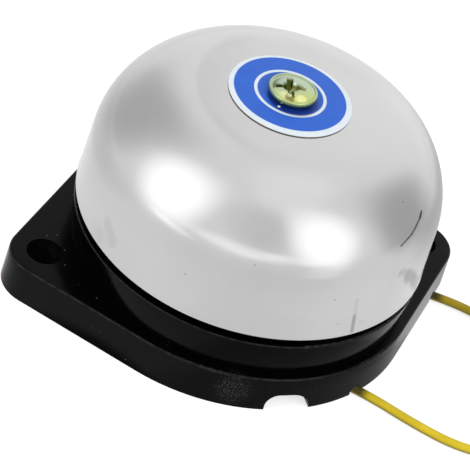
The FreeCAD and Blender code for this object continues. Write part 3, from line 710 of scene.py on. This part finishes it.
def make_finishes():
    """Every finish, by the record's material slot."""
    made = [
        moulding_finish(),
        gong_finish(),
        label_finish(),
        yellow_zinc_finish(),
        lead_finish(),
        winding_finish(),
        plain_finish(
            "fibre_board", (0.20, 0.075, 0.035), (0.27, 0.11, 0.05), 0.0006, (0.55, 0.75), relief=8e-6
        ),
        plain_finish("plain_zinc", (0.52, 0.54, 0.56), (0.68, 0.69, 0.70), 0.0008, (0.24, 0.38), 1.0),
        plain_finish(
            "soft_iron", (0.26, 0.26, 0.27), (0.40, 0.40, 0.41), 0.0009, (0.32, 0.5), 1.0, stretch=(0.3, 1, 1)
        ),
        plain_finish("spring_steel", (0.36, 0.36, 0.38), (0.50, 0.50, 0.52), 0.0003, (0.25, 0.4), 1.0),
        plain_finish("nylon", (0.70, 0.66, 0.55), (0.80, 0.77, 0.68), 0.0012, (0.38, 0.5)),
        plain_finish("coil_tape", (0.70, 0.44, 0.05), (0.78, 0.52, 0.08), 0.0015, (0.18, 0.3)),
        plain_finish(
            "brass", (0.60, 0.42, 0.14), (0.72, 0.53, 0.20), 0.0006, (0.22, 0.35), 1.0, stretch=(0.2, 1, 1)
        ),
        plain_finish("rubber", (0.018, 0.018, 0.018), (0.03, 0.03, 0.03), 0.0003, (0.6, 0.75), relief=6e-6),
        plain_finish("sleeving", (0.62, 0.60, 0.50), (0.74, 0.72, 0.62), 0.00025, (0.45, 0.6), relief=2e-5),
        plain_finish("coil_wire", (0.30, 0.02, 0.012), (0.40, 0.035, 0.02), 0.001, (0.3, 0.4)),
        plain_finish("tie_plastic", (0.74, 0.74, 0.70), (0.82, 0.82, 0.78), 0.0006, (0.38, 0.5), relief=4e-6),
        plain_finish("tinned_copper", (0.52, 0.49, 0.44), (0.68, 0.66, 0.62), 0.0002, (0.25, 0.4), 1.0),
    ]
    return {material.name: material for material in made}


# Camera, light and floor


def make_camera():
    data = bpy.data.cameras.new("camera")
    data.lens = CAMERA_LENS
    data.sensor_width = CAMERA_SENSOR
    data.clip_start = 0.01
    camera = bpy.data.objects.new("camera", data)
    bpy.context.scene.collection.objects.link(camera)
    camera.matrix_world = Matrix.Translation(CAMERA_PLACE) @ camera_turn()
    bpy.context.scene.camera = camera


def studio_direction(azimuth, elevation):
    """The unit vector towards an azimuth from the front and an elevation, in degrees."""
    a, e = math.radians(azimuth), math.radians(elevation)
    return Vector((math.sin(a) * math.cos(e), -math.cos(a) * math.cos(e), math.sin(e)))


def studio_patch(tree, ray, azimuth, elevation, width, height, light):
    """A soft-edged oval of light or shade round one direction of the studio."""
    towards = studio_direction(azimuth, elevation)
    sideways = studio_direction(azimuth + 90, 0)
    upwards = sideways.cross(towards)
    terms = []
    for across, half in ((sideways, width), (upwards, height)):
        reach = across / math.sin(math.radians(half))
        dot = vector_math(tree, "DOT_PRODUCT", ray, reach)["Value"]
        terms.append(times(tree, dot, dot))
    oval = remap(tree, sum_of(tree, terms[0], terms[1]), 1.0, 0.0, 0.0, light, soft=True)
    facing = vector_math(tree, "DOT_PRODUCT", ray, towards)["Value"]
    in_front = combined(tree, facing, 0.0, "GREATER_THAN")
    return times(tree, oval, in_front)


def studio_light(tree, ray):
    """The light that comes from a direction of the studio."""
    level = STUDIO_LEVEL
    for patch in STUDIO_PATCHES:
        level = sum_of(tree, level, studio_patch(tree, ray, *patch))
    return level


def make_world():
    """White all round, with the studio's soft patches in what shiny surfaces see."""
    world = bpy.data.worlds.new("studio")
    bpy.context.scene.world = world
    world.use_nodes = True
    tree = world.node_tree
    background = tree.nodes["Background"]
    ray = add(tree, "ShaderNodeTexCoord").outputs["Generated"]
    paths = add(tree, "ShaderNodeLightPath").outputs
    plain = combined(tree, paths["Is Camera Ray"], paths["Is Transmission Ray"], "MAXIMUM")
    lights = {0: paths["Is Glossy Ray"], 2: WORLD_LIGHT, 3: studio_light(tree, ray)}
    seen = add(tree, "ShaderNodeMix", lights, data_type="FLOAT").outputs[0]
    strength = add(tree, "ShaderNodeMix", {0: plain, 2: seen, 3: 1.0}, data_type="FLOAT").outputs[0]
    tree.links.new(strength, background.inputs["Strength"])
    background.inputs["Color"].default_value = (1, 1, 1, 1)


def make_lamp(name, azimuth, elevation):
    data = bpy.data.lights.new(name, "AREA")
    data.shape = "SQUARE"
    data.size = LAMP_SIZE
    data.energy = LAMP_POWER
    lamp = bpy.data.objects.new(name, data)
    bpy.context.scene.collection.objects.link(lamp)
    towards = studio_direction(azimuth, elevation)
    lamp.location = towards * LAMP_DISTANCE
    lamp.rotation_mode = "QUATERNION"
    lamp.rotation_quaternion = towards.to_track_quat("Z", "Y")
    lamp.visible_camera = False
    lamp.visible_glossy = False


def floor_shade(tree, place):
    """The bell's shade as the base shines it back: 1 on clear floor, dim in front, dark below."""
    front = flat_distance(tree, place, SHADE_FRONT)
    shade = remap(tree, front, *SHADE_FRONT_FADE, SHADE_FRONT_LIGHT, 1.0, soft=True)
    out = flat_distance(tree, place, (0, 0, 0))
    beside = add(tree, "ShaderNodeSeparateXYZ", {0: place}).outputs["X"]
    far_clear = remap(tree, out, *SHADE_END_OUT, soft=True)
    side_clear = remap(tree, beside, *SHADE_END_BESIDE, soft=True)
    shade = most_of(tree, [shade, far_clear, side_clear])
    half_x, half_y = SHADE_UNDER_SIZE
    outline = moved(tree, place, SHADE_UNDER, (1 / half_x, 1 / half_y, 0))
    under = vector_math(tree, "LENGTH", outline)["Value"]
    return times(tree, shade, remap(tree, under, *SHADE_UNDER_FADE, SHADE_UNDER_LIGHT, 1.0, soft=True))


def make_floor():
    """A pale floor that keeps the bell's shadow, and that shiny surfaces see as part of the studio."""
    deselect()
    bpy.ops.mesh.primitive_plane_add(size=6.0, location=(0, 0, -MM / 20))
    floor = settle(bpy.context.object, "floor")
    material = bpy.data.materials.new("floor_white")
    material.use_nodes = True
    tree = material.node_tree
    shader = tree.nodes["Principled BSDF"]
    paths = add(tree, "ShaderNodeLightPath").outputs
    shiny = paths["Is Glossy Ray"]
    link(tree, colour_mix(tree, shiny, FLOOR_COLOUR, (0, 0, 0)), shader, "Base Color")
    shader.inputs["Roughness"].default_value = 0.6
    shader.inputs["Specular IOR Level"].default_value = 0.0
    place = add(tree, "ShaderNodeTexCoord").outputs["Object"]
    offset = moved(tree, place, (0, 0, STUDIO_EYE_Z))
    ray = vector_math(tree, "NORMALIZE", offset)[0]
    studio = sum_of(tree, studio_light(tree, ray), STUDIO_FLOOR_CHANGE)
    studio = times(tree, studio, floor_shade(tree, place))
    plain = combined(tree, paths["Is Camera Ray"], paths["Is Transmission Ray"], "MAXIMUM")
    glow = sum_of(tree, times(tree, plain, FLOOR_GLOW), times(tree, shiny, studio))
    shader.inputs["Emission Color"].default_value = (1, 1, 1, 1)
    tree.links.new(glow, shader.inputs["Emission Strength"])
    floor.data.materials.append(material)


# Leads


def wound_station(angle, layer_angle):
    """Radius and height of a put-away coil: in along the lower layer, up a layer, out again."""
    rate = WOUND_PITCH / (2 * math.pi)
    inner = WOUND_RADIUS - rate * layer_angle
    climb = angle - layer_angle
    if climb <= 0:
        return WOUND_RADIUS - rate * angle, 0.0
    if climb < math.pi:
        share = climb / math.pi
        return inner + rate * climb * (share - 1), WOUND_LAYER_STEP * share**2 * (3 - 2 * share)
    return inner + rate * (climb - math.pi), WOUND_LAYER_STEP


def wound_points(route, layer_turns):
    """The points of a put-away coil that goes on from the end of a route."""
    entry, before = Vector(route[-1]), Vector(route[-2])
    heading = (entry - before).normalized()
    start = entry + heading * LEAD_DIAMETER
    spiral_lean = math.atan2(WOUND_PITCH / (2 * math.pi), WOUND_RADIUS)
    first_angle = math.atan2(heading.y, heading.x) - math.pi / 2 - spiral_lean
    centre = start - Vector((math.cos(first_angle), math.sin(first_angle), 0)) * WOUND_RADIUS
    layer_angle = layer_turns * 2 * math.pi
    count = round((2 * layer_turns + 0.5) * POINTS_PER_TURN)
    widen = 1 / math.cos(math.pi / POINTS_PER_TURN)
    points = []
    for index in range(count + 1):
        angle = (2 * layer_angle + math.pi) * index / count
        radius, height = wound_station(angle, layer_angle)
        turn = first_angle + angle
        out = Vector((math.cos(turn), math.sin(turn), 0))
        points.append(centre + out * radius * widen + UP * height)
    last = UP.cross(out)
    points.append(centre + out * radius + UP * height + last * LEAD_DIAMETER)
    return points, last


def cord_curve(name, points):
    """A round cord on a smooth line that the points steer."""
    data = bpy.data.curves.new(name, "CURVE")
    data.dimensions = "3D"
    data.bevel_depth = LEAD_DIAMETER / 2
    data.bevel_resolution = 6
    data.resolution_u = 8
    data.use_fill_caps = True
    spline = data.splines.new("NURBS")
    spline.points.add(len(points) - 1)
    for target, point in zip(spline.points, points):
        target.co = (*point, 1)
    spline.order_u = 3
    spline.use_endpoint_u = True
    cord = bpy.data.objects.new(name, data)
    bpy.context.scene.collection.objects.link(cord)
    return cord


def bare_end(name, start, heading, finish):
    """Seven tinned strands, twisted together, that stick out of a lead's plastic."""
    strand_radius = 0.00015
    length = 0.005
    twist = math.radians(420)
    side = heading.cross(UP).normalized()
    strands = []
    for strand in range(7):
        data = bpy.data.curves.new(name, "CURVE")
        data.dimensions = "3D"
        data.bevel_depth = strand_radius
        data.bevel_resolution = 2
        data.use_fill_caps = True
        spline = data.splines.new("NURBS")
        count = 15
        spline.points.add(count - 1)
        for index, target in enumerate(spline.points):
            share = index / (count - 1)
            angle = strand * math.pi / 3 + twist * share
            reach = 0 if strand == 6 else strand_radius * 2
            flare = 1 + 0.25 * max(share - 0.8, 0) / 0.2
            around = side * math.cos(angle) + UP * math.sin(angle)
            target.co = (*(start + heading * (length * share - MM / 4) + around * reach * flare), 1)
        spline.order_u = 3
        spline.use_endpoint_u = True
        curve = bpy.data.objects.new(name, data)
        bpy.context.scene.collection.objects.link(curve)
        strands.append(curve)
    pick(*strands)
    bpy.ops.object.convert(target="MESH")
    bpy.ops.object.join()
    end = settle(bpy.context.object, name)
    end.data.materials.clear()
    end.data.materials.append(finish)
    smooth(end)
    return end


def make_tie(name, node, finish):
    """A strap round the coil's turns, with a small lock head and the cut tail of the strap."""
    source = frame["nodes"][node]
    strap = source.copy()
    strap.data = source.data.copy()
    bpy.context.scene.collection.objects.link(strap)
    strap.parent = None
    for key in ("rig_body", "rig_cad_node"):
        if key in strap:
            del strap[key]
    pick(strap)
    bpy.ops.object.mode_set(mode="EDIT")
    bpy.ops.mesh.select_all(action="SELECT")
    bpy.ops.mesh.remove_doubles(threshold=MM / 1000)
    bpy.ops.mesh.dissolve_limited(angle_limit=math.radians(2))
    bpy.ops.object.mode_set(mode="OBJECT")
    strap.data.materials.clear()
    strap.data.materials.append(finish)
    smooth(strap)
    return settle(strap, name)


def make_lead(number, route, layer_turns, finishes):
    points, heading = wound_points(route, layer_turns)
    cord = cord_curve(f"lead_{number}_cord", [Vector(point) for point in route] + points)
    cord.data.materials.append(finishes["lead_plastic"])
    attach(cord, "bell")
    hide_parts(f"lead_{number}", f"lead_{number}_coil")
    end = bare_end(f"lead_{number}_strands", points[-1], heading, finishes["tinned_copper"])
    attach(end, "bell")
    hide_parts(f"lead_{number}_end")
    tie = make_tie(f"lead_{number}_strap", f"lead_{number}_tie", finishes["tie_plastic"])
    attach(tie, "bell")
    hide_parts(f"lead_{number}_tie")
    for piece in (cord, end, tie):
        piece.visible_glossy = False


# Gong


def gong_side(inset, radius, rim_z, crown_z, steps):
    """Rings of the gong's outer or inner side, from above the rim's round to the hole."""
    arc = GONG_SHOULDER_RADIUS - inset
    crown = GONG_CROWN_RADIUS - inset
    crown_centre = crown_z - GONG_CROWN_RADIUS
    foot_out = radius - GONG_SHOULDER_RADIUS * math.cos(GONG_LEAN)
    foot_up = rim_z - GONG_SHOULDER_RADIUS * math.sin(GONG_LEAN) - crown_centre
    along = foot_up * math.cos(GONG_LEAN) - foot_out * math.sin(GONG_LEAN)
    rest = foot_out**2 + foot_up**2 - (GONG_CROWN_RADIUS - GONG_SHOULDER_RADIUS) ** 2
    climb = math.sqrt(along**2 - rest) - along
    out = foot_out - climb * math.sin(GONG_LEAN)
    up = crown_centre + foot_up + climb * math.cos(GONG_LEAN)
    last = math.degrees(math.atan2(up - crown_centre, out))
    hole = math.degrees(math.acos(GONG_HOLE_RADIUS / crown))
    shoulder = ring_arc(out, up, arc, math.degrees(GONG_LEAN), last, steps)
    top = ring_arc(0, crown_centre, crown, last, hole, steps // 3)
    foot = (radius - inset / math.cos(GONG_LEAN), rim_z)
    skirt = []
    for share in (0.08, 0.3, 0.55, 0.8):
        skirt.append(tuple(a + (b - a) * share for a, b in zip(foot, shoulder[0])))
    return skirt + shoulder + top[1:]


def make_gong(finish):
    """The shell, with a rim that flares a little at its very edge."""
    low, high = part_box("gong")
    radius = (high.x - low.x) / 2
    rim_z = low.z - GONG_RIM_LOWER
    outer = gong_side(0, radius, low.z, high.z, 48)
    inner = gong_side(GONG_WALL, radius, low.z, high.z, 24)
    rim = []
    foot_inner = radius - GONG_WALL
    rim += ring_arc(foot_inner + GONG_RIM_ROUND, rim_z + GONG_RIM_ROUND, GONG_RIM_ROUND, 180, 270, 5)
    edge = radius + GONG_RIM_FLARE - GONG_RIM_ROUND
    rim += ring_arc(edge, rim_z + GONG_RIM_ROUND, GONG_RIM_ROUND, 270, 370, 6)
    rim += [(radius + GONG_RIM_FLARE / 3, rim_z + 2.2 * GONG_RIM_ROUND)]
    rings = inner[::-1] + rim + outer + [inner[-1]]
    gong = turned("gong_shell", rings, 320, 0, (low.y + high.y) / 2)
    gong.data.materials.append(finish)
    smooth(gong, 50)
    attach(gong, "bell")
    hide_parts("gong")


# Base, as moulded: the CAD solid's own shape with its rounds shaded smooth


def smooth_copy(node, name, finish, degrees=30):
    """A merged and smoothly shaded copy of a node, which stands for it."""
    source = frame["nodes"][node]
    body = source["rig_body"]
    piece = bpy.data.objects.new(name, source.data.copy())
    bpy.context.scene.collection.objects.link(piece)
    pick(piece)
    bpy.ops.object.mode_set(mode="EDIT")
    bpy.ops.mesh.select_all(action="SELECT")
    bpy.ops.mesh.remove_doubles(threshold=MM / 2000)
    bpy.ops.mesh.customdata_custom_splitnormals_clear()
    bpy.ops.object.mode_set(mode="OBJECT")
    piece.data.name = name
    piece.data.materials.clear()
    piece.data.materials.append(finish)
    smooth(piece, degrees)
    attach(piece, body)
    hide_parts(node)
    return piece


def draw_in_foot(base):
    """Draws the drum's foot in a little, as under a slight lip, so that the drum stands in its own shade."""
    low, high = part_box("gong")
    axis = Vector((0, (low.y + high.y) / 2, DRUM_FOOT_Z))
    foot = []
    for vertex in base.data.vertices:
        out = vertex.co - axis
        if abs(out.z) < MM / 50 and abs(out.to_2d().length - DRUM_RADIUS) < MM / 30:
            foot.append(vertex.index)
            vertex.co = axis + out * (1 - DRUM_FOOT_INSET / DRUM_RADIUS)
    if not foot:
        raise ValueError("the drum's foot wasn't found")
    base.data.update()


# Label and screws


def make_label(finish):
    """The thin round plate, pressed to the gong's crown, with rounded edges and its hole."""
    low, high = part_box("label_plate")
    centre = (low + high) / 2 + Vector((0.00015, 0, 0))
    radius = (high.x - low.x) / 2
    hole = GONG_HOLE_RADIUS + 0.0006
    thickness = high.z - low.z
    edge_round = thickness * 0.3
    rings = []
    for side in (0, thickness):
        for share in (1, 0.9, 0.8, 0.7, 0.6, 0.5, 0.4):
            out = (radius - edge_round) * share
            sink = GONG_CROWN_RADIUS - math.sqrt(GONG_CROWN_RADIUS**2 - out**2)
            rings.append((out, low.z + side - sink))
        rings.append((hole, low.z + side))
    lower, upper = rings[: len(rings) // 2], rings[len(rings) // 2 :]
    edge_out, edge_z = lower[0]
    outer = ring_arc(edge_out, edge_z + edge_round, edge_round, -90, 0, 4)
    outer += ring_arc(edge_out, edge_z + thickness - edge_round, edge_round, 0, 90, 4)
    label = turned("label_disc", lower[::-1] + outer[1:] + upper[1:] + [lower[-1]], 200, centre.x, centre.y)
    label.data.materials.append(finish)
    smooth(label, 40)
    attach(label, "bell")
    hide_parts("label_plate")


def cross_cutter(place, reach, slot, depth, turn):
    """Two shallow crossing wedges and a deeper cone, as a cross driver leaves them, widest at the place."""
    foot_share = 0.62
    cutters = []
    for quarter in (0, 1):
        deselect()
        bpy.ops.mesh.primitive_cube_add(size=1, location=place - UP * depth / 2)
        wedge = bpy.context.object
        wedge.scale = (2 * reach, slot, depth)
        wedge.rotation_euler = (0, 0, turn + quarter * math.pi / 2)
        pick(wedge)
        bpy.ops.object.transform_apply(location=True, rotation=True, scale=True)
        bpy.ops.object.mode_set(mode="EDIT")
        mesh = bmesh.from_edit_mesh(wedge.data)
        for vertex in mesh.verts:
            vertex.select = vertex.co.z < place.z - depth / 2
        bmesh.update_edit_mesh(wedge.data)
        foot = (place.x, place.y, place.z - depth)
        bpy.ops.transform.resize(value=(foot_share, foot_share, 1), center_override=foot)
        bpy.ops.object.mode_set(mode="OBJECT")
        cutters.append(wedge)
    deselect()
    pit = 1.5 * depth
    bpy.ops.mesh.primitive_cone_add(
        vertices=40, radius1=slot * 0.3, radius2=slot * 1.25, depth=pit, location=place - UP * pit / 2
    )
    cutters.append(bpy.context.object)
    for other in cutters[1:]:
        apply_modifier(cutters[0], "BOOLEAN", operation="UNION", object=other, solver="EXACT")
        bpy.data.objects.remove(other)
    return cutters[0]


def make_gong_screw(finish):
    """Head with a flat edge ring, a fine groove, a low dome and a cross recess, on its shank."""
    low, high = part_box("gong_screw")
    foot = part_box("label_plate")[1].z
    radius = (high.x - low.x) / 2 + MM / 10
    axis_y = (low.y + high.y) / 2
    shoulder = foot + 0.0013
    foot_inset = 0.0006
    foot_rise = 0.0007
    edge_round = 0.00018
    ring_in = radius - 0.00046
    groove = 0.00009
    dome_base = ring_in - 0.00014
    dome_foot = shoulder - groove / 2
    dome_rise = high.z - dome_foot
    dome_radius = (dome_base**2 + dome_rise**2) / (2 * dome_rise)
    last = math.degrees(math.asin(dome_base / dome_radius))
    shank = 0.00196
    rings = [(0.0002, low.z), (shank - 0.0003, low.z), (shank, low.z + 0.0003), (shank, foot)]
    rings += [(radius - foot_inset, foot), (radius - foot_inset / 3, foot + foot_rise / 2)]
    rings += [(radius, foot + foot_rise)]
    rings += ring_arc(radius - edge_round, shoulder - edge_round, edge_round, 0, 90, 4)
    rings += [(ring_in + groove, shoulder), (ring_in, shoulder - groove), (dome_base, dome_foot)]
    rings += ring_arc(0, high.z - dome_radius, dome_radius, 90 - last, 89.3, 18)[1:]
    screw = turned("gong_screw_turned", rings, 128, SCREW_SHIFT.x, axis_y + SCREW_SHIFT.y, closed=False)
    recess = Vector((0, axis_y, high.z + MM / 20)) + SCREW_SHIFT + SCREW_RECESS_SHIFT
    cutter = cross_cutter(recess, reach=0.0026, slot=0.0011, depth=0.0010, turn=math.radians(-16))
    apply_modifier(screw, "BOOLEAN", operation="DIFFERENCE", object=cutter, solver="EXACT")
    bpy.data.objects.remove(cutter)
    merge_close(screw, MM / 50)
    sharp = math.radians(40)
    apply_modifier(screw, "BEVEL", width=0.00004, segments=2, limit_method="ANGLE", angle_limit=sharp)
    screw.data.materials.clear()
    screw.data.materials.append(finish)
    smooth(screw, 40)
    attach(screw, "bell")
    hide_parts("gong_screw")


# Springs, wound between the frame and the striker


def make_spring(node, finish, radius, wire, turns, fixed_x, moving_x):
    name = node + "_wound"
    centre = middle(node)
    inset = wire / 2 + 0.00002
    sign = 1 if moving_x > fixed_x else -1
    start, end = fixed_x + sign * inset, moving_x - sign * inset
    data = bpy.data.curves.new(name, "CURVE")
    data.dimensions = "3D"
    data.bevel_depth = wire / 2
    data.bevel_resolution = 3
    data.resolution_u = 3
    data.use_fill_caps = True
    spline = data.splines.new("NURBS")
    count = turns * 16 + 1
    spline.points.add(count - 1)
    for index, target in enumerate(spline.points):
        share = index / (count - 1)
        angle = 2 * math.pi * turns * share
        x = start + (end - start) * share
        target.co = (x, centre.y + radius * math.cos(angle), centre.z + radius * math.sin(angle), 1)
    spline.order_u = 3
    spline.use_endpoint_u = True
    curve = bpy.data.objects.new(name, data)
    bpy.context.scene.collection.objects.link(curve)
    pick(curve)
    bpy.ops.object.convert(target="MESH")
    spring = settle(bpy.context.object, name)
    spring.data.materials.clear()
    spring.data.materials.append(finish)
    smooth(spring)
    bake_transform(spring)
    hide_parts(node)


# What stays as CAD made it, with its finish


def finish_nodes(finishes):
    for part in frame["record"]["subparts"]:
        node = frame["nodes"][part["node"]]
        node.data.materials.clear()
        node.data.materials.append(finishes[part["material_slot"]])


bpy.context.scene.view_settings.view_transform = "Standard"
make_camera()
finishes = make_finishes()
finish_nodes(finishes)
make_lead(1, LEAD_1_ROUTE, LEAD_1_LAYER_TURNS, finishes)
make_lead(2, LEAD_2_ROUTE, LEAD_2_LAYER_TURNS, finishes)
make_world()
for name, (azimuth, elevation) in LAMPS.items():
    make_lamp(name, azimuth, elevation)
make_floor()
make_gong(finishes["polished_gong"])
draw_in_foot(smooth_copy("base", "base_moulding", finishes["black_moulding"]))
make_label(finishes["label"])
make_gong_screw(finishes["yellow_zinc"])
for node, form in SPRINGS.items():
    make_spring(node, finishes["spring_steel"], **form)

deselect()
